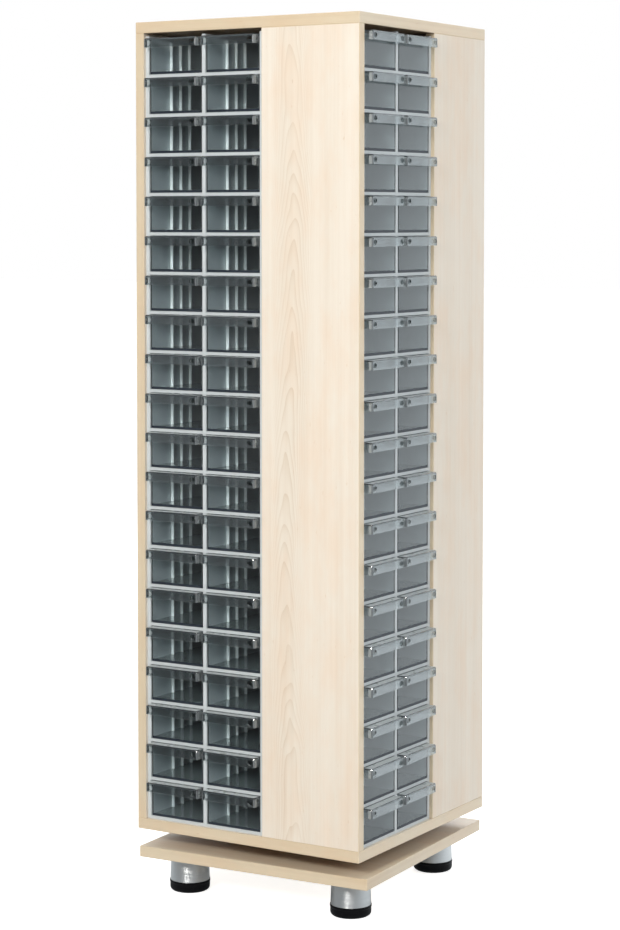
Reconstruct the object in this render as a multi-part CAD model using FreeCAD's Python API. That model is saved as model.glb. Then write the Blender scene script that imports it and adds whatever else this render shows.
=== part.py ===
import FreeCAD, Part
import os

# A revolving drawer cabinet: a square case with a bank of clear drawers in each of its four sides,
# carried by a steel turntable on a base board with four legs.
# Millimetres, +Z up. The floor is z = 0 and the cabinet turns about the Z axis.
# Everything on a side is built for the front (-Y) and turned a quarter turn for each next side.

# Drawers
drawer_width = 101.0
drawer_length = 156.0
drawer_height = 57.4
drawer_wall = 1.8
drawer_front_wall = 2.4
drawer_floor = 2.2
pull_depth = 16.5               # from the drawer's front to the pull's front
pull_height = 15.0
pull_wall = 2.0

# Drawer racks
columns = 2
rows = 20
sliding_rows = (3, 8, 13, 18)   # counted from the bottom, these rows slide; the others stay shut
shelf_thickness = 5.0
upright_thickness = 6.5
upright_head = 3.0              # the uprights end this far over the top row
rack_head_gap = 5.0             # open gap between the uprights and the top board
drawer_side_clearance = 1.0
drawer_lift = 0.4               # running clearance over the shelf
drawer_headroom = 1.0
drawer_back_clearance = 4.5
front_recess = 6.0              # drawer fronts behind the wooden edges

# Case
board_thickness = 18.0
panel_thickness = 16.0
partition_thickness = 12.0
edge_break = 0.8                # chamfer on the edges of boards and panels

# Turntable: a closed ball race between two square plates, with a spacer board over it
plate_side = 200.0
plate_thickness = 3.0
hub_radius = 40.0
ring_radius = 58.0
race_height = 7.0
race_clearance = 0.05           # running clearance between the hub and what turns over and round it
spacer_side = 240.0
spacer_thickness = 13.0

# Base
base_turn = 2.6                 # degrees that the base stands turned from the cabinet
base_thickness = 18.0
leg_inset = 60.0                # from the base's edges to a leg's axis
sleeve_height = 42.0
sleeve_radius = 31.8
foot_height = 18.0
foot_radius = 33.5
foot_edge = 6.0                 # height and reach of the rounded lower edge
foot_edge_bulge = 1.8           # height and reach at which the rounding turns upwards

# Sizes that follow
row_pitch = shelf_thickness + drawer_lift + drawer_height + drawer_headroom
column_width = drawer_width + 2 * drawer_side_clearance
column_pitch = column_width + upright_thickness
bank_width = columns * column_pitch + upright_thickness
rack_depth = drawer_length + drawer_back_clearance
rack_height = rows * row_pitch + upright_head
inside_height = rack_height + rack_head_gap
panel_width = front_recess + rack_depth + partition_thickness
cabinet_side = panel_thickness + bank_width + panel_width
half_side = cabinet_side / 2
core_half = half_side - panel_width

# Levels
base_bottom = foot_height + sleeve_height
base_top = base_bottom + base_thickness
race_bottom = base_top + plate_thickness
race_top = race_bottom + race_height
spacer_bottom = race_top + plate_thickness
case_bottom = spacer_bottom + spacer_thickness
inside_bottom = case_bottom + board_thickness
inside_top = inside_bottom + inside_height

# Places of the front side
bank_left = -half_side + panel_thickness
rack_front = -half_side + front_recess
rack_back = rack_front + rack_depth

side_names = ("front", "right", "back", "left")
quarter_turn = 90.0
z_axis = FreeCAD.Vector(0, 0, 1)
centre = FreeCAD.Vector(0, 0, 0)


def block(x_span, y_span, z_span):
    corner = FreeCAD.Vector(x_span[0], y_span[0], z_span[0])
    return Part.makeBox(x_span[1] - x_span[0], y_span[1] - y_span[0], z_span[1] - z_span[0], corner)


def board(x_span, y_span, z_span):
    plain = block(x_span, y_span, z_span)
    return plain.makeChamfer(edge_break, plain.Edges)


def turned(shape, degrees):
    copy = shape.copy()
    copy.rotate(centre, z_axis, degrees)
    return copy


def moved(shape, x, y, z):
    copy = shape.copy()
    copy.translate(FreeCAD.Vector(x, y, z))
    return copy


def revolved(points):
    # A closed outline of (radius, level) corners, swept once round the Z axis.
    corners = [FreeCAD.Vector(radius, 0, level) for radius, level in points]
    outline = Part.makePolygon(corners + corners[:1])
    return Part.Face(outline).revolve(centre, z_axis, 360)


def save(name, shape):
    shape.exportStep("parts/" + name + ".step")


def drawer():
    # One clear moulding. Its front lies on y = 0, its middle on x = 0 and its underside on z = 0.
    half = drawer_width / 2
    tray = block((-half, half), (0, drawer_length), (0, drawer_height))
    hollow_half = half - drawer_wall
    hollow = block((-hollow_half, hollow_half),
                   (drawer_front_wall, drawer_length - drawer_wall),
                   (drawer_floor, drawer_height))
    # The pull is a hood over the fingers: a ledge, a hanging front plate and two cheeks.
    pull_bottom = drawer_height - pull_height
    hood = block((-half, half), (-pull_depth, 0), (pull_bottom, drawer_height))
    grip_half = half - pull_wall
    grip = block((-grip_half, grip_half), (pull_wall - pull_depth, 0),
                 (pull_bottom, drawer_height - pull_wall))
    return tray.cut(hollow).fuse(hood.cut(grip)).removeSplitter()


def drawer_place(column, row):
    # Middle of the front's lower edge, for columns and rows counted from 1.
    x = bank_left + upright_thickness + (column - 0.5) * column_width + (column - 1) * upright_thickness
    z = inside_bottom + (row - 1) * row_pitch + shelf_thickness + drawer_lift
    return x, rack_front, z


def rack():
    # Light uprights stand on the bottom board, with a shelf between them under each drawer.
    pieces = []
    depth = (rack_front, rack_back)
    for step in range(columns + 1):
        left = bank_left + step * column_pitch
        pieces.append(block((left, left + upright_thickness), depth,
                            (inside_bottom, inside_bottom + rack_height)))
    for column in range(columns):
        left = bank_left + upright_thickness + column * column_pitch
        for row in range(rows):
            under = inside_bottom + row * row_pitch
            pieces.append(block((left, left + column_width), depth, (under, under + shelf_thickness)))
    return Part.makeCompound(pieces)


def square(side, z_span):
    half = side / 2
    return block((-half, half), (-half, half), z_span)


def race_hub():
    # The fixed half of the closed race, which carries and centres the turning half.
    height = race_height - race_clearance
    return Part.makeCylinder(hub_radius, height, FreeCAD.Vector(0, 0, race_bottom))


def race_ring():
    # The turning half of the closed race, fixed under the upper plate and running round the hub.
    height = race_height - race_clearance
    under = FreeCAD.Vector(0, 0, race_top - height)
    bore = Part.makeCylinder(hub_radius + race_clearance, height, under)
    return Part.makeCylinder(ring_radius, height, under).cut(bore)


def leg_sleeve():
    # A bright round post that stands on the foot.
    return Part.makeCylinder(sleeve_radius, sleeve_height, FreeCAD.Vector(0, 0, foot_height))


def leg_foot():
    # A round glide, wider than the sleeve, with its lower edge rounded in two steps.
    return revolved([(0, 0), (foot_radius - foot_edge, 0), (foot_radius - foot_edge_bulge, foot_edge_bulge),
                     (foot_radius, foot_edge), (foot_radius, foot_height), (0, foot_height)])


def four_legs(shape):
    reach = half_side - leg_inset
    corner = moved(shape, reach, -reach, 0)
    return Part.makeCompound([turned(corner, base_turn + quarter_turn * step) for step in range(4)])


os.makedirs("parts", exist_ok=True)

full_span = (-half_side, half_side)

# Base
base_board = board(full_span, full_span, (base_bottom, base_top))
save("base_board", turned(base_board, base_turn))
save("leg_sleeves", four_legs(leg_sleeve()))
save("leg_feet", four_legs(leg_foot()))

# Turntable
lower_plate = square(plate_side, (base_top, race_bottom))
save("turntable_lower_plate", turned(lower_plate, base_turn))
save("turntable_hub", race_hub())
save("turntable_ring", race_ring())
save("turntable_upper_plate", square(plate_side, (race_top, spacer_bottom)))
save("turntable_spacer", square(spacer_side, (spacer_bottom, case_bottom)))

# Case
save("bottom_board", board(full_span, full_span, (case_bottom, inside_bottom)))
save("top_board", board(full_span, full_span, (inside_top, inside_top + board_thickness)))
inside_span = (inside_bottom, inside_top)
side_panel = board((core_half, half_side), (-half_side, -half_side + panel_thickness), inside_span)
partition = block((bank_left, core_half), (rack_back, rack_back + partition_thickness), inside_span)
side_rack = rack()
one_drawer = drawer()
column_names = ("left", "right")

for side, side_name in enumerate(side_names):
    angle = quarter_turn * side
    save("panel_" + side_name, turned(side_panel, angle))
    save("partition_" + side_name, turned(partition, angle))
    save("rack_" + side_name, turned(side_rack, angle))
    shut_drawers = []
    for column in range(1, columns + 1):
        for row in range(1, rows + 1):
            placed = turned(moved(one_drawer, *drawer_place(column, row)), angle)
            if row in sliding_rows:
                save(f"drawer_{side_name}_{column_names[column - 1]}_{row:02d}", placed)
            else:
                shut_drawers.append(placed)
    save("shut_drawers_" + side_name, Part.makeCompound(shut_drawers))
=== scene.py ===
import math

import bmesh
import bpy
from mathutils import Matrix, Vector


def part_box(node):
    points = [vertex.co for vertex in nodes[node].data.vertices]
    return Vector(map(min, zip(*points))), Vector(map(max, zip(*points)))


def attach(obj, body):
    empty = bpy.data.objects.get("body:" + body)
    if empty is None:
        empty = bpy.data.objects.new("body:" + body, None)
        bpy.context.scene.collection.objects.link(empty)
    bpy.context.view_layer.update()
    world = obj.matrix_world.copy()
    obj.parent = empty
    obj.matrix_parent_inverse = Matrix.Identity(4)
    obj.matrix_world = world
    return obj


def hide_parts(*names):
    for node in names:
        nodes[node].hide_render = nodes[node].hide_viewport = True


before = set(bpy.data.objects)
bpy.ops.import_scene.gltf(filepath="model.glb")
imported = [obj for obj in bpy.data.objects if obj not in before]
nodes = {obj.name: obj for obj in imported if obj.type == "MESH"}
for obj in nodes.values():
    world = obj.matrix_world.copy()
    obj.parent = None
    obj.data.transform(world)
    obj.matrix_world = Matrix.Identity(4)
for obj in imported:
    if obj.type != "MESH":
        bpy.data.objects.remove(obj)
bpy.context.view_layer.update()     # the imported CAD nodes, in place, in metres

scene = bpy.context.scene
mm = 0.001
sideNames = ("front", "right", "back", "left")  # each is a quarter turn on from the one before
columnNames = ("left", "right")


# Camera, where the photograph was taken from
cameraView = {
    "place": (2.034, -3.3528, 1.1073),
    "turn": 31.324,   # degrees round to the right of straight in front
    "tip": 2.604,     # degrees below level
    "sensor": 36.0, "lens": 91.495,
    "shiftY": -0.15,  # keeps upright edges almost parallel
}


def placeCamera(view):
    data = bpy.data.cameras.new("studioCamera")
    data.sensor_width = view["sensor"]
    data.lens = view["lens"]
    data.shift_y = view["shiftY"]
    camera = bpy.data.objects.new("studioCamera", data)
    camera.location = view["place"]
    camera.rotation_euler = (math.radians(90 - view["tip"]), 0, math.radians(view["turn"]))
    scene.collection.objects.link(camera)
    scene.camera = camera


placeCamera(cameraView)
print("camera placed")


# Shader helpers
def addNode(tree, kind, inputs=(), **settings):
    node = tree.nodes.new("ShaderNode" + kind)
    for name, value in settings.items():
        setattr(node, name, value)
    for name, value in dict(inputs).items():  # a socket is linked, anything else is a plain value
        if isinstance(value, bpy.types.NodeSocket):
            tree.links.new(value, node.inputs[name])
        else:
            node.inputs[name].default_value = value
    return node


def mathNode(tree, operation, a, b=0.0, c=0.0):
    return addNode(tree, "Math", {0: a, 1: b, 2: c}, operation=operation).outputs[0]


def rangeNode(tree, value, before, after=(0.0, 1.0)):
    inputs = {"Value": value, "From Min": before[0], "From Max": before[1],
              "To Min": after[0], "To Max": after[1]}
    return addNode(tree, "MapRange", inputs).outputs[0]


def mixColour(tree, share, a, b, blend="MIX"):
    return addNode(tree, "Mix", {0: share, 6: a, 7: b}, data_type="RGBA", blend_type=blend).outputs[2]


def noiseNode(tree, vector, scale, detail=2.0, rough=0.5):
    if isinstance(scale, tuple):  # a pattern that is drawn out along one axis
        vector, scale = addNode(tree, "Mapping", {"Vector": vector, "Scale": scale}).outputs[0], 1.0
    inputs = {"Vector": vector, "Scale": scale, "Detail": detail, "Roughness": rough}
    return addNode(tree, "TexNoise", inputs).outputs["Fac"]


def newGroup(name, inputs, outputs):
    group = bpy.data.node_groups.new(name, "ShaderNodeTree")
    for label, kind in inputs:
        group.interface.new_socket(label, in_out="INPUT", socket_type="NodeSocket" + kind)
    for label, kind in outputs:
        group.interface.new_socket(label, in_out="OUTPUT", socket_type="NodeSocket" + kind)
    source = group.nodes.new("NodeGroupInput").outputs
    target = group.nodes.new("NodeGroupOutput").inputs
    return group, source, target


def useGroup(tree, group, inputs):
    return addNode(tree, "Group", inputs, node_tree=group).outputs


def newMaterial(name, **plain):
    material = bpy.data.materials.new(name)
    material.use_nodes = True
    shader = material.node_tree.nodes["Principled BSDF"]
    for label, value in plain.items():
        shader.inputs[label.replace("_", " ")].default_value = value
    return material, material.node_tree, shader


def link(tree, source, shader, label):
    tree.links.new(source, shader.inputs[label])


def addBump(tree, shader, height, strength, distance):
    bump = addNode(tree, "Bump", {"Height": height, "Strength": strength, "Distance": distance})
    link(tree, bump.outputs[0], shader, "Normal")


# Grain of maple laminate. The vector is (across the grain, depth, along the grain) in metres.
mapleFigure = {
    "lean": (2.5, 2.5, 2.2), "leanReach": 0.05,          # how the heart of the figure leans to and fro
    "ringSpread": 5000.0, "ringSlant": 20.0,             # rings that are cut at a slant run into arches
    "wander": (18, 18, 5), "wanderRings": 6.0,           # the cut wanders in and out of the rings
    "lineSharpness": 3.0,
    "fading": (14, 14, 3), "fadingPower": 1.2,
    "heart": (0.012, 0.045), "heartShare": (1.0, 0.05),  # how far from the heart the arches fade
    "streaks": (150, 150, 1.6), "streakShare": 0.50,
    "broad": (16, 16, 0.9), "broadShare": 0.40,
    "fibre": (900, 900, 22), "fibreShare": 0.20,
    "shadeRange": (0.3, 1.1),
    "patches": (26, 26, 9), "patchRange": (0.40, 0.70), "patchTint": (1.0, 0.94, 0.895, 1),  # soft and warmer
    "flecks": (260, 260, 70), "fleckRange": (0.74, 0.86), "fleckShare": (0.0, 0.5),
    "fleckTint": (0.80, 0.66, 0.50, 1),
}


def makeMapleGrain(values):
    group, source, target = newGroup(
        "mapleGrain",
        [("Vector", "Vector"), ("Pale", "Color"), ("Deep", "Color"), ("Figure", "Float")],
        [("Color", "Color"), ("Fibre", "Float")])
    place = source["Vector"]
    parts = addNode(group, "SeparateXYZ", {0: place}).outputs
    lean = noiseNode(group, place, values["lean"])
    across = mathNode(group, "MULTIPLY_ADD", lean, values["leanReach"], parts[0])
    across = mathNode(group, "SUBTRACT", across, values["leanReach"] / 2)
    rings = mathNode(group, "MULTIPLY", mathNode(group, "MULTIPLY", across, across), values["ringSpread"])
    rings = mathNode(group, "MULTIPLY_ADD", parts[2], values["ringSlant"], rings)
    wander = noiseNode(group, place, values["wander"])
    figure = mathNode(group, "FRACT", mathNode(group, "MULTIPLY_ADD", wander, values["wanderRings"], rings))
    lines = mathNode(group, "POWER", figure, values["lineSharpness"])
    fading = mathNode(group, "POWER", noiseNode(group, place, values["fading"]), values["fadingPower"])
    lines = mathNode(group, "MULTIPLY", lines, fading)
    heart = rangeNode(group, mathNode(group, "ABSOLUTE", across), values["heart"], values["heartShare"])
    lines = mathNode(group, "MULTIPLY", lines, mathNode(group, "MULTIPLY", heart, source["Figure"]))
    streaks = noiseNode(group, place, values["streaks"], detail=3.0, rough=0.6)
    broad = noiseNode(group, place, values["broad"])
    fibre = noiseNode(group, place, values["fibre"])
    shade = mathNode(group, "MULTIPLY_ADD", streaks, values["streakShare"], lines)
    shade = mathNode(group, "MULTIPLY_ADD", broad, values["broadShare"], shade)
    shade = mathNode(group, "MULTIPLY_ADD", fibre, values["fibreShare"], shade)
    colour = mixColour(group, rangeNode(group, shade, values["shadeRange"]), source["Pale"], source["Deep"])
    patches = noiseNode(group, place, values["patches"], detail=3.0, rough=0.6)
    warm = rangeNode(group, patches, values["patchRange"])
    colour = mixColour(group, warm, colour, values["patchTint"], "MULTIPLY")
    flecks = noiseNode(group, place, values["flecks"], detail=1.0)
    brown = rangeNode(group, flecks, values["fleckRange"], values["fleckShare"])
    colour = mixColour(group, brown, colour, values["fleckTint"], "MULTIPLY")
    group.links.new(colour, target["Color"])
    group.links.new(fibre, target["Fibre"])
    return group


# Fine unevenness of a moulded or coated skin
skinFigure = {"cloud": 14.0, "grit": 1500.0, "gritDepth": 0.0002, "handled": 45.0, "handledRange": (0.3, 0.7)}


def makeMouldedSkin(values):
    group, source, target = newGroup(
        "mouldedSkin",
        [("Vector", "Vector"), ("Pale", "Color"), ("Deep", "Color"),
         ("Rough Low", "Float"), ("Rough High", "Float")],
        [("Color", "Color"), ("Rough", "Float"), ("Grit", "Float")])
    cloud = noiseNode(group, source["Vector"], values["cloud"], detail=3.0)
    handled = noiseNode(group, source["Vector"], values["handled"], detail=4.0, rough=0.65)
    rough = rangeNode(group, handled, values["handledRange"], (source["Rough Low"], source["Rough High"]))
    group.links.new(mixColour(group, cloud, source["Pale"], source["Deep"]), target["Color"])
    group.links.new(rough, target["Rough"])
    group.links.new(noiseNode(group, source["Vector"], values["grit"]), target["Grit"])
    return group


mapleGrain = makeMapleGrain(mapleFigure)
mouldedSkin = makeMouldedSkin(skinFigure)

woodTones = {
    "facePale": (0.90, 0.83, 0.725, 1), "faceDeep": (0.74, 0.63, 0.50, 1),
    "bandPale": (0.79, 0.67, 0.49, 1), "bandDeep": (0.63, 0.50, 0.33, 1),
    "basePale": (0.88, 0.77, 0.59, 1), "baseDeep": (0.71, 0.57, 0.40, 1),
    "underShadeTint": (0.30, 0.20, 0.13, 1),    # painted shade: the boards' undersides are darkened so the gaps over the drawers and under the cabinet look shadowed
    "figure": 0.9, "bandFigure": 0.15,   # how strongly the arches show
    "bandDepth": 0.37,                   # the layer of the grain that the banding is cut from
    "rough": 0.42, "specular": 0.25, "bandRough": 0.25,
    "fibreBump": (0.12, 0.0004),
}
flatNormal = 0.9  # a face lies across an axis where its normal has more than this of it


# Faces across one axis show laminate, and the rest of the board shows its edge banding.
def boardMaterial(name, thickAxis, alongAxis, turn=0.0, shift=(0, 0, 0), tone="face", shadeUnder=False):
    material, tree, shader = newMaterial(name, Roughness=woodTones["rough"],
                                         Coat_Roughness=woodTones["bandRough"],
                                         Specular_IOR_Level=woodTones["specular"])
    spot = addNode(tree, "TexCoord").outputs
    laid = {"Vector": spot["Object"], "Rotation": (0, 0, -turn), "Location": shift}
    parts = addNode(tree, "SeparateXYZ", {0: addNode(tree, "Mapping", laid).outputs[0]}).outputs
    acrossAxis = 3 - thickAxis - alongAxis
    faceVector = addNode(tree, "CombineXYZ", {0: parts[acrossAxis], 1: parts[thickAxis], 2: parts[alongAxis]})
    level = mathNode(tree, "ADD", parts[0], parts[1])  # runs along either pair of upright edges
    bandOrder = (parts[2], level) if thickAxis == 2 else (level, parts[2])
    bandVector = addNode(tree, "CombineXYZ", {0: bandOrder[0], 1: woodTones["bandDepth"], 2: bandOrder[1]})
    face = useGroup(tree, mapleGrain, {"Vector": faceVector.outputs[0], "Pale": woodTones[tone + "Pale"],
                                       "Deep": woodTones[tone + "Deep"], "Figure": woodTones["figure"]})
    band = useGroup(tree, mapleGrain, {"Vector": bandVector.outputs[0], "Pale": woodTones["bandPale"],
                                       "Deep": woodTones["bandDeep"], "Figure": woodTones["bandFigure"]})
    outwards = addNode(tree, "SeparateXYZ", {0: spot["Normal"]}).outputs[thickAxis]
    edge = mathNode(tree, "LESS_THAN", mathNode(tree, "ABSOLUTE", outwards), flatNormal)
    colour = mixColour(tree, edge, face["Color"], band["Color"])
    if shadeUnder:
        # painted shade: darken the faces that look down
        under = mathNode(tree, "LESS_THAN", outwards, -flatNormal)
        colour = mixColour(tree, under, colour, woodTones["underShadeTint"], "MULTIPLY")
    link(tree, colour, shader, "Base Color")
    link(tree, edge, shader, "Coat Weight")  # the banding is glossier
    addBump(tree, shader, face["Fibre"], *woodTones["fibreBump"])
    return material


def skinMaterial(name, pale, deep, rough, grit=0.05, **plain):
    material, tree, shader = newMaterial(name, **plain)
    spot = addNode(tree, "TexCoord").outputs["Object"]
    skin = useGroup(tree, mouldedSkin, {"Vector": spot, "Pale": (*pale, 1), "Deep": (*deep, 1),
                                        "Rough Low": rough[0], "Rough High": rough[1]})
    link(tree, skin["Color"], shader, "Base Color")
    link(tree, skin["Rough"], shader, "Roughness")
    if grit:
        addBump(tree, shader, skin["Grit"], grit, skinFigure["gritDepth"])
    return material


grazingPower = 5.0  # how late, towards a grazing view, a pane turns light away


# Clear plastic: it bends what is seen through it, and lamps light what stands behind it.
def clearMaterial(name, pale, deep, rough, through, share=1.0, bend=1.47, loss=0.0):
    material = skinMaterial(name, pale, deep, rough, 0, Transmission_Weight=share, IOR=bend)
    tree = material.node_tree
    passed = (*through, 1)
    if loss:  # light that only grazes the pane is turned away
        grazing = mathNode(tree, "POWER", addNode(tree, "LayerWeight").outputs["Facing"], grazingPower)
        passed = mixColour(tree, mathNode(tree, "MULTIPLY", grazing, loss), passed, (0, 0, 0, 1))
    lit = addNode(tree, "BsdfTransparent", {"Color": passed}).outputs[0]
    isShadow = addNode(tree, "LightPath").outputs["Is Shadow Ray"]
    both = addNode(tree, "MixShader", {0: isShadow, 1: tree.nodes["Principled BSDF"].outputs[0], 2: lit})
    tree.links.new(both.outputs[0], tree.nodes["Material Output"].inputs["Surface"])
    return material


# Fine rings left by turning tilt the surface up and down, which draws reflections out into upright streaks.
turningLines = {"rings": (4, 4, 12000), "tilt": 2.0, "lean": 0.06}


def addTurningLines(material, values):
    tree = material.node_tree
    rings = noiseNode(tree, addNode(tree, "TexCoord").outputs["Object"], values["rings"], detail=1.0)
    height = mathNode(tree, "MULTIPLY_ADD", rings, values["tilt"], values["lean"] - values["tilt"] / 2)
    upward = addNode(tree, "CombineXYZ", {2: height}).outputs[0]
    normal = addNode(tree, "NewGeometry").outputs["Normal"]
    tilted = addNode(tree, "VectorMath", {0: normal, 1: upward}, operation="ADD").outputs[0]
    tilted = addNode(tree, "VectorMath", {0: tilted}, operation="NORMALIZE").outputs[0]
    link(tree, tilted, tree.nodes["Principled BSDF"], "Normal")


# Each finish is mixed from a pale and a deep tone. Through is the light that passes on to what stands behind.
clearFinishes = {
    "smokeClear": {"pale": (0.82, 0.86, 0.87), "deep": (0.78, 0.82, 0.83), "rough": (0.02, 0.06),
                   "through": (0.94, 0.96, 0.97)},
    "smokePane": {"pale": (0.82, 0.86, 0.87), "deep": (0.78, 0.82, 0.83), "rough": (0.02, 0.06),
                  "through": (0.94, 0.96, 0.97), "loss": 1.0},
    "smokeFrost": {"pale": (0.72, 0.77, 0.78), "deep": (0.66, 0.71, 0.72), "rough": (0.08, 0.12),
                   "through": (0.64, 0.67, 0.68), "share": 0.997, "bend": 1.86},
    "smokeFloor": {"pale": (0.52, 0.56, 0.56), "deep": (0.48, 0.52, 0.52), "rough": (0.03, 0.08),
                   "through": (0.72, 0.74, 0.74)},
    "ledgeFrost": {"pale": (0.72, 0.77, 0.77), "deep": (0.66, 0.71, 0.71), "rough": (0.25, 0.35),
                   "through": (0.50, 0.52, 0.53), "share": 0.25},
    "cheekFrost": {"pale": (0.60, 0.65, 0.66), "deep": (0.55, 0.60, 0.61), "rough": (0.20, 0.30),
                   "through": (0.70, 0.72, 0.73), "share": 0.55},
}
solidFinishes = {
    "rackGrey": {"pale": (0.67, 0.71, 0.725), "deep": (0.61, 0.65, 0.665), "rough": (0.35, 0.5)},
    # painted shade: a dark grey that stands in for the shade on the pulls' corners and on the left cheeks'
    # inner sides
    "cheekShade": {"pale": (0.17, 0.19, 0.20), "deep": (0.13, 0.145, 0.155), "rough": (0.2, 0.3), "grit": 0},
    # painted highlight: the ribs are pale and frosted, standing in for the bright reflections on the clear
    # plastic ribs
    "ribFrostGlint": {"pale": (0.86, 0.90, 0.90), "deep": (0.78, 0.82, 0.82), "rough": (0.3, 0.45)},
    # Near-black finish: partly the thick floor edge seen through the plastic, partly painted shade under the
    # pulls' ledges and along the bottom of the fronts
    "smokeEdgeShade": {"pale": (0.038, 0.046, 0.060), "deep": (0.025, 0.032, 0.043), "rough": (0.15, 0.25),
                  "grit": 0, "Specular_IOR_Level": 0.25},
    "satinChrome": {"pale": (0.64, 0.65, 0.65), "deep": (0.58, 0.59, 0.59), "rough": (0.32, 0.37),
                    "grit": 0, "Metallic": 1.0},
    "blackGlide": {"pale": (0.006, 0.006, 0.007), "deep": (0.003, 0.003, 0.004), "rough": (0.32, 0.5),
                   "Specular_IOR_Level": 0.1},
    "zincSteel": {"pale": (0.62, 0.63, 0.64), "deep": (0.50, 0.51, 0.53), "rough": (0.3, 0.5),
                  "grit": 0.03, "Metallic": 1.0},
    "hardboard": {"pale": (0.17, 0.12, 0.085), "deep": (0.12, 0.085, 0.06), "rough": (0.55, 0.75),
                  "grit": 0.1},
}
finishes = {name: clearMaterial(name, **values) for name, values in clearFinishes.items()}
finishes.update({name: skinMaterial(name, **values) for name, values in solidFinishes.items()})
addTurningLines(finishes["satinChrome"], turningLines)
print("finishes made:", len(finishes))


# Carried-over CAD nodes get their finishes. The shifts cut each board from another place in the laminate.
boardLay = {
    "baseTurn": math.radians(2.6),          # the base stands turned under the cabinet
    "bottomShift": (0.31, 0.17, 0), "baseShift": (0.77, 0.41, 0),
    "hearts": (-0.082, 0.14, 0.06, -0.11),  # where the arched figure runs on each panel
    "panelStart": -0.55, "panelStep": 0.37,
}
baseTurn = boardLay["baseTurn"]


def dress(node, material):
    mesh = nodes[node].data
    mesh.materials.clear()
    mesh.materials.append(material)


axisX, axisY, axisZ = range(3)
# painted shade on the undersides of the top and bottom boards
dress("top_board", boardMaterial("mapleTop", axisZ, axisX, shadeUnder=True))
dress("bottom_board", boardMaterial("mapleBottom", axisZ, axisX, shift=boardLay["bottomShift"], shadeUnder=True))
dress("base_board", boardMaterial("mapleBase", axisZ, axisX, baseTurn, boardLay["baseShift"], "base"))
dress("turntable_spacer", boardMaterial("mapleSpacer", axisZ, axisY))
for step, side in enumerate(sideNames):
    shift = [0, 0, boardLay["panelStart"] - boardLay["panelStep"] * step]
    wideAxis, thickAxis = (axisX, axisY) if step % 2 == 0 else (axisY, axisX)
    shift[wideAxis] = boardLay["hearts"][step]
    dress("panel_" + side, boardMaterial("maplePanel_" + side, thickAxis, axisZ, shift=shift))
    dress("rack_" + side, finishes["rackGrey"])
    dress("partition_" + side, finishes["hardboard"])
for node in ("turntable_lower_plate", "turntable_upper_plate", "turntable_ring", "turntable_hub"):
    dress(node, finishes["zincSteel"])
print("boards, racks and turntable dressed")


# Mesh helpers
squareOn = 0.95                # a face looks along a direction where its normal has more than this of it
partly, hardly = 0.25, 0.3     # it is turned that way at all above the first, and not much below the second
sharpAngle = math.radians(12)
hair, near = 0.1 * mm, 1 * mm  # slack when faces are looked up by place
seam = 0.001 * mm              # slack when the ends of a spin are joined


def addBlock(bm, low, high, slot=0):
    low, high = Vector(low), Vector(high)
    made = bmesh.ops.create_cube(bm, size=1.0)["verts"]
    bmesh.ops.scale(bm, vec=high - low, verts=made)
    bmesh.ops.translate(bm, vec=(high + low) / 2, verts=made)
    for face in {f for v in made for f in v.link_faces}:
        face.material_index = slot


def facing(bm, direction):
    bm.normal_update()
    return [f for f in bm.faces if f.normal.dot(Vector(direction)) > squareOn]


def cutAt(bm, faces, point, normal):
    whole = {part for face in faces for part in (face, *face.edges, *face.verts)}
    bmesh.ops.bisect_plane(bm, geom=list(whole), plane_co=point, plane_no=normal)


def roundEdges(bm, edges, width):
    bmesh.ops.bevel(bm, geom=edges, offset=width, segments=2, profile=0.5, affect="EDGES", material=-1)


def newPiece(name, bm, materials, body, replaced):
    mesh = bpy.data.meshes.new(name)
    bm.to_mesh(mesh)
    bm.free()
    for material in materials:
        mesh.materials.append(material)
    mesh.shade_smooth()
    mesh.set_sharp_from_angle(angle=sharpAngle)
    piece = bpy.data.objects.new(name, mesh)
    scene.collection.objects.link(piece)
    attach(piece, body)
    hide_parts(replaced)


# Drawers. One is built with its front on y = 0, its middle on x = 0 and its underside on z = 0.
lowLeft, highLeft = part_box("drawer_front_left_03")
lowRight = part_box("drawer_front_right_03")[0]
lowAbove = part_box("drawer_front_left_08")[0]
drawerForm = {
    "width": highLeft.x - lowLeft.x, "height": highLeft.z - lowLeft.z,
    "wall": 1.8 * mm, "floor": 2.2 * mm, "corner": 2.0 * mm,
    "lowerLine": 4.0 * mm,                  # dark line along the bottom of the front: the floor's edge seen through the plastic, with painted shade for the gap above the shelf
    "pullDepth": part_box("rack_front")[0].y - lowLeft.y,
    "pullHeight": 15 * mm, "pullWall": 2 * mm, "pullRound": 2.2 * mm, "pullGap": 0.02 * mm,
    "cheekFront": 7 * mm,                   # the part of a cheek that is frosted
    "windowMiddle": 42.5 * mm, "windowWidth": 10.5 * mm, "windowHeight": 8 * mm, "windowDrop": 0.5 * mm,
    "ribDepths": (56 * mm, 82.5 * mm, 109 * mm), "ribReach": 4.8 * mm, "ribThick": 1.6 * mm,
    "ribDrop": 3 * mm, "ribEmbed": 0.6 * mm,
    "rows": 20,
    "firstSliding": 3, "nextSliding": 8,    # the rows of the nodes that give the places
}
drawerForm["length"] = highLeft.y - lowLeft.y - drawerForm["pullDepth"]
drawerForm["rowPitch"] = (lowAbove.z - lowLeft.z) / (drawerForm["nextSliding"] - drawerForm["firstSliding"])
drawerFinishes = ("smokeClear", "smokeFrost", "ribFrostGlint", "smokeEdgeShade", "ledgeFrost", "cheekFrost",
                  "smokeFloor", "smokePane", "cheekShade")
drawerMaterials = [finishes[name] for name in drawerFinishes]
clear, frosted, ribGlint, edgeShaded, ledged, cheeked, floored, paned, shaded = range(len(drawerFinishes))


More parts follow.
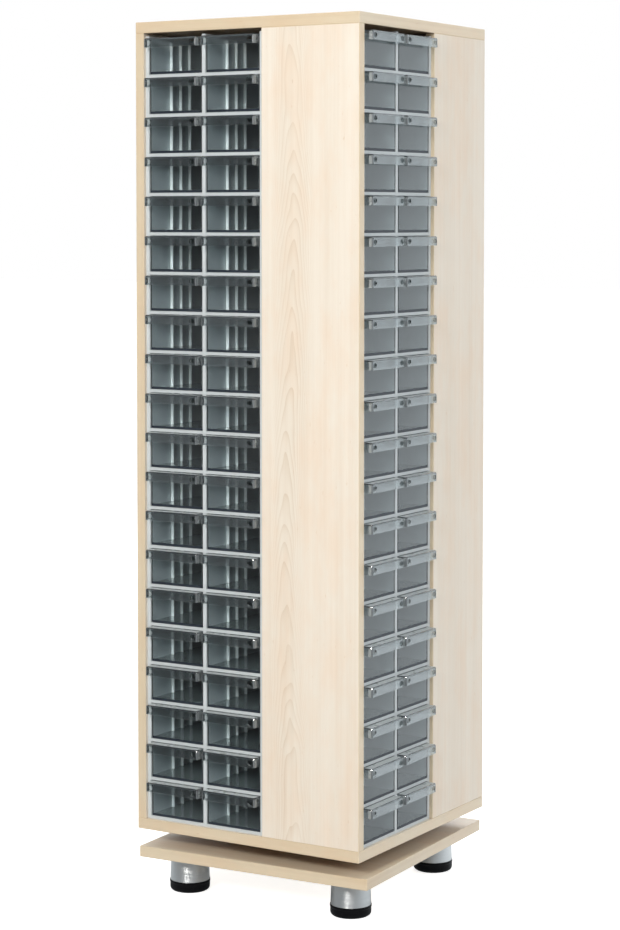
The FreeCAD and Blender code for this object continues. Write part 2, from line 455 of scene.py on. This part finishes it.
# The oval windows in the pull's plate
def cutWindows(bm, form, middle):
    for sign in (-1, 1):
        cutAt(bm, facing(bm, (0, -1, 0)), (0, 0, middle + sign * form["windowHeight"] / 2), (0, 0, 1))
        for edge in (-1, 1):
            x = sign * form["windowMiddle"] + edge * form["windowWidth"] / 2
            cutAt(bm, facing(bm, (0, -1, 0)), (x, 0, 0), (1, 0, 0))
    windows = []
    for face in facing(bm, (0, -1, 0)):
        spot = face.calc_center_median()
        if abs(spot.z - middle) < near and abs(abs(spot.x) - form["windowMiddle"]) < near:
            windows.append(face)
    for window in windows:
        centre = window.calc_center_median()
        bmesh.ops.subdivide_edges(bm, edges=window.edges[:], cuts=2)
        for v in window.verts:  # round the corners into an oval
            offset = v.co - centre
            angle = math.atan2(offset.z / form["windowHeight"], offset.x / form["windowWidth"])
            v.co.x = centre.x + math.cos(angle) * form["windowWidth"] / 2
            v.co.z = centre.z + math.sin(angle) * form["windowHeight"] / 2
    bmesh.ops.delete(bm, geom=windows, context="FACES_ONLY")


def pullHood(form):
    bm = bmesh.new()
    half, high = form["width"] / 2, form["height"]
    low = high - form["pullHeight"]
    middle = (low + high) / 2 - form["windowDrop"]
    cheekLine = form["cheekFront"] - form["pullDepth"]
    addBlock(bm, (-half, -form["pullDepth"], low), (half, -form["pullGap"], high), frosted)
    bmesh.ops.delete(bm, geom=facing(bm, (0, 0, -1)) + facing(bm, (0, 1, 0)), context="FACES")
    roundEdges(bm, [e for e in bm.edges if len(e.link_faces) == 2], form["pullRound"])
    for sign in (-1, 1):
        cutAt(bm, facing(bm, (sign, 0, 0)), (0, cheekLine, 0), (0, 1, 0))
    cutWindows(bm, form, middle)
    bmesh.ops.recalc_face_normals(bm, faces=bm.faces[:])
    for face in bm.faces:
        sideways, upwards = abs(face.normal.x), abs(face.normal.z)
        if upwards > squareOn:
            face.material_index = ledged
        elif sideways > squareOn:
            face.material_index = cheeked if face.calc_center_median().y < cheekLine else clear
        elif upwards < hardly and sideways > partly:
            face.material_index = shaded  # painted shade: the upright corners get the dark grey finish
    bmesh.ops.solidify(bm, geom=bm.faces[:], thickness=form["pullWall"])
    bm.normal_update()
    for face in bm.faces:
        spot = face.calc_center_median()
        inWindow = (abs(abs(spot.x) - form["windowMiddle"]) < form["windowWidth"] / 2 + hair
                    and abs(spot.z - middle) < form["windowHeight"] / 2)
        looksInwards = face.normal.x * spot.x < 0 and abs(face.normal.x) > squareOn
        if face.normal.z < -squareOn:  # light lower rim; under the ledge the near-black edge finish is painted shade
            face.material_index = ledged if spot.z < low + hair else edgeShaded
        elif inWindow and abs(face.normal.y) < hardly:  # the window's own walls
            face.material_index = clear
        elif looksInwards and face.material_index == cheeked:  # inner sides of the cheeks' frosted part: painted shade on the left cheeks, clear on the right
            face.material_index = shaded if spot.x < 0 else clear
    return bm


def drawerTray(form):
    bm = bmesh.new()
    half, length, high = form["width"] / 2, form["length"], form["height"]
    addBlock(bm, (-half, 0, 0), (half, length, high))
    upright = [e for e in bm.edges if abs(e.verts[0].co.z - e.verts[1].co.z) > near]
    roundEdges(bm, upright, form["corner"])
    top = facing(bm, (0, 0, 1))
    bmesh.ops.inset_region(bm, faces=top, thickness=form["wall"], use_even_offset=True)
    bmesh.ops.inset_region(bm, faces=top, thickness=0, depth=form["floor"] - high)
    front = [f for f in bm.faces if f.normal.y < -partly and f.calc_center_median().y < form["corner"]]
    cutAt(bm, front, (0, 0, form["lowerLine"]), (0, 0, 1))
    for face in bm.faces:
        spot = face.calc_center_median()
        isLow = spot.z < form["lowerLine"]
        if isLow and face.normal.y < -partly:  # the front and its rounded corners: the dark floor edge, with painted shade
            face.material_index = edgeShaded
        elif isLow and abs(face.normal.z) > squareOn:
            face.material_index = floored
        elif abs(face.normal.y) > squareOn and spot.y < form["corner"]:
            face.material_index = paned
    inner = half - form["wall"]
    for depth in form["ribDepths"]:  # divider guides on both side walls, in a pale finish that is a painted highlight
        for sign in (-1, 1):
            ends = sorted((sign * (inner + form["ribEmbed"]), sign * (inner - form["ribReach"])))
            addBlock(bm, (ends[0], depth, form["floor"] - form["ribEmbed"]),
                     (ends[1], depth + form["ribThick"], high - form["ribDrop"]), ribGlint)
    return bm


def drawerMesh(form):
    bm = drawerTray(form)
    made = pullHood(form)
    hood = bpy.data.meshes.new("pullHood")
    made.to_mesh(hood)
    made.free()
    bm.from_mesh(hood)
    mesh = bpy.data.meshes.new("oneDrawer")
    bm.to_mesh(mesh)
    bm.free()
    return mesh


oneDrawer = drawerMesh(drawerForm)


def addDrawer(bm, side, column, row):
    x = (lowLeft.x if column == 0 else lowRight.x) + drawerForm["width"] / 2
    y = lowLeft.y + drawerForm["pullDepth"]
    z = lowLeft.z + (row - drawerForm["firstSliding"]) * drawerForm["rowPitch"]
    before = len(bm.verts)
    bm.from_mesh(oneDrawer)
    bm.verts.ensure_lookup_table()
    spot = Matrix.Rotation(math.radians(90 * side), 4, "Z") @ Matrix.Translation((x, y, z))
    bmesh.ops.transform(bm, matrix=spot, verts=bm.verts[before:])


for side, sideName in enumerate(sideNames):
    shut = bmesh.new()
    for column, columnName in enumerate(columnNames):
        for row in range(1, drawerForm["rows"] + 1):
            node = f"drawer_{sideName}_{columnName}_{row:02d}"
            if node in nodes:
                bm = bmesh.new()
                addDrawer(bm, side, column, row)
                newPiece("clear_" + node, bm, drawerMaterials, node, node)
            else:
                addDrawer(shut, side, column, row)
    shutNode = "shut_drawers_" + sideName
    newPiece("clear_" + shutNode, shut, drawerMaterials, "cabinet", shutNode)
print("drawers made:", len(oneDrawer.polygons), "faces each")


# Legs
sleeveLow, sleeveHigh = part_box("leg_sleeves")
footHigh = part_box("leg_feet")[1]
legForm = {"reach": 150 * mm, "taper": 0.8 * mm, "footEdge": 6 * mm, "footLip": 1.2 * mm, "steps": 48,
           "footArc": (0, 22.5, 45, 67.5, 90)}  # degrees round the foot's lower edge
# From the axis to the outermost leg's middle, along X
legSpread = legForm["reach"] * (math.cos(baseTurn) + math.sin(baseTurn))


def spunLegs(name, profile, material, node):
    bm = bmesh.new()
    reach = legForm["reach"]
    for corner in range(4):
        turn = Matrix.Rotation(baseTurn + math.radians(90 * corner), 4, "Z")
        before = len(bm.verts)
        chain = [bm.verts.new((radius, 0, level)) for radius, level in profile]
        links = [bm.edges.new(pair) for pair in zip(chain, chain[1:])]
        bmesh.ops.spin(bm, geom=chain + links, cent=(0, 0, 0), axis=(0, 0, 1), angle=math.tau,
                       steps=legForm["steps"], use_merge=True)
        bm.verts.ensure_lookup_table()
        fresh = bm.verts[before:]
        bmesh.ops.transform(bm, matrix=turn @ Matrix.Translation((reach, -reach, 0)), verts=fresh)
    bmesh.ops.remove_doubles(bm, verts=bm.verts[:], dist=seam)
    bmesh.ops.recalc_face_normals(bm, faces=bm.faces[:])
    newPiece(name, bm, [material], "base", node)


low, high = sleeveLow.z, sleeveHigh.z
sleeve, taper = sleeveHigh.x - legSpread, legForm["taper"]
spunLegs("chrome_sleeves", [(0, low), (sleeve + taper, low), (sleeve - taper, high), (0, high)],
         finishes["satinChrome"], "leg_sleeves")
foot, edge, lip = footHigh.x - legSpread, legForm["footEdge"], legForm["footLip"]
roundOff = [(foot - lip / 2 - edge * (1 - math.sin(angle)), edge * (1 - math.cos(angle)))
            for angle in map(math.radians, legForm["footArc"])]
# The bead stands out by half a lip round the top of the foot
bead = [(foot - lip / 2, low - 4 * lip), (foot, low - 3 * lip), (foot, low - lip / 2), (foot - lip / 2, low)]
spunLegs("black_glides", [(0, 0)] + roundOff + bead + [(0, low)],
         finishes["blackGlide"], "leg_feet")
print("legs made")


# Studio. Clear plastic and metal mirror other surroundings than the camera sees: dark in front, pale behind.
# The floor shows this as a painted reflection: it glows only for mirror rays, with a painted shadow under the
# base.
studioFloor = {
    "half": 30.0, "pale": (0.80, 0.80, 0.80), "deep": (0.78, 0.78, 0.78), "rough": (0.8, 0.9),
    "lift": 0.8,                                              # raises the camera's view of it to white
    "tint": (0.90, 0.96, 1.0, 1),
    "mirrorPlaces": (-0.8, 0.6), "mirrorGlow": (0.12, 1.25),  # places along Y, and its mirrored brightness
    "farPlaces": (-6.0, -1.5), "farGlow": (0.27, 0.0),        # a paler stretch far in front
    "shadePlaces": (0.12, 0.27), "shadeShare": (0.05, 1.0),   # distances from the axis: painted shadow under the base, seen only in reflections
}


def layFloor(values):
    material = skinMaterial("studioFloor", values["pale"], values["deep"], values["rough"], 0,
                            Emission_Strength=values["lift"])
    tree = material.node_tree
    shader = tree.nodes["Principled BSDF"]
    path = addNode(tree, "LightPath").outputs
    link(tree, path["Is Camera Ray"], shader, "Emission Color")
    spot = addNode(tree, "TexCoord").outputs["Object"]
    depth = addNode(tree, "SeparateXYZ", {0: spot}).outputs[1]
    away = addNode(tree, "VectorMath", {0: spot}, operation="LENGTH").outputs["Value"]
    # painted reflection: the floor's glow for mirror rays, darkened under the base as a painted shadow
    glow = rangeNode(tree, depth, values["mirrorPlaces"], values["mirrorGlow"])
    shade = rangeNode(tree, away, values["shadePlaces"], values["shadeShare"])
    farReflection = rangeNode(tree, depth, values["farPlaces"], values["farGlow"])
    glow = mathNode(tree, "MULTIPLY_ADD", glow, shade, farReflection)
    mirrored = addNode(tree, "Emission", {"Color": values["tint"], "Strength": glow}).outputs[0]
    isPlain = mathNode(tree, "MAXIMUM", path["Is Camera Ray"], path["Is Diffuse Ray"])
    both = addNode(tree, "MixShader", {0: isPlain, 1: mirrored, 2: shader.outputs[0]}).outputs[0]
    tree.links.new(both, tree.nodes["Material Output"].inputs["Surface"])
    bm = bmesh.new()
    bmesh.ops.create_grid(bm, x_segments=1, y_segments=1, size=values["half"])
    mesh = bpy.data.meshes.new("studioFloor")
    bm.to_mesh(mesh)
    bm.free()
    mesh.materials.append(material)
    piece = bpy.data.objects.new("studioFloor", mesh)
    scene.collection.objects.link(piece)


layFloor(studioFloor)

studioLights = {
    "keyFront": {"place": (0.7, -4.2, 2.4), "aim": (0, 0, 0.75), "size": 0.8, "power": 95,
                 "colour": (1.0, 0.98, 0.95), "mirrored": True},
    "fillRight": {"place": (2.3, -3.4, 2.3), "aim": (0, 0, 0.75), "size": 1.2, "power": 20,
                  "colour": (1.0, 0.98, 0.95), "mirrored": True},
    "sideRight": {"place": (4.4, 0.6, 2.4), "aim": (0, 0, 0.7), "size": 2.2, "power": 56,
                  "colour": (0.95, 0.97, 1.0), "mirrored": False},
    "fillBack": {"place": (-1.6, 4.0, 2.4), "aim": (0, 0, 0.7), "size": 1.6, "power": 60,
                 "colour": (1, 1, 1), "mirrored": True},
    "overhead": {"place": (0.2, -0.8, 3.8), "aim": (0, -0.2, 0), "size": 2.4, "power": 25,
                 "colour": (1, 1, 1), "mirrored": True},
}
for name, values in studioLights.items():
    data = bpy.data.lights.new(name, "AREA")
    data.shape = "SQUARE"
    data.size = values["size"]
    data.energy = values["power"]
    data.color = values["colour"]
    lamp = bpy.data.objects.new(name, data)
    lamp.location = values["place"]
    lamp.rotation_mode = "QUATERNION"
    lamp.rotation_quaternion = (Vector(values["aim"]) - Vector(values["place"])).to_track_quat("-Z", "Y")
    lamp.visible_glossy = lamp.visible_transmission = values["mirrored"]
    scene.collection.objects.link(lamp)

studioWorld = {
    "mirrorGlow": (0.08, 1.36), "tint": (0.90, 0.96, 1.0, 1),  # from the front to the back
    "ambient": 0.28, "seen": 1.0,
}


def lightWorld(values):
    world = bpy.data.worlds.new("studioWorld")
    world.use_nodes = True
    scene.world = world
    tree = world.node_tree
    tree.nodes.clear()
    depth = addNode(tree, "SeparateXYZ", {0: addNode(tree, "TexCoord").outputs["Generated"]}).outputs[1]
    glow = rangeNode(tree, depth, (-1.0, 1.0), values["mirrorGlow"])
    path = addNode(tree, "LightPath").outputs
    white = (1, 1, 1, 1)
    mirrored = addNode(tree, "Background", {"Color": values["tint"], "Strength": glow}).outputs[0]
    ambient = addNode(tree, "Background", {"Color": white, "Strength": values["ambient"]}).outputs[0]
    seen = addNode(tree, "Background", {"Color": white, "Strength": values["seen"]}).outputs[0]
    around = addNode(tree, "MixShader", {0: path["Is Diffuse Ray"], 1: mirrored, 2: ambient}).outputs[0]
    both = addNode(tree, "MixShader", {0: path["Is Camera Ray"], 1: around, 2: seen}).outputs[0]
    addNode(tree, "OutputWorld", {"Surface": both})


lightWorld(studioWorld)
scene.view_settings.view_transform = "Standard"
print("studio lit")
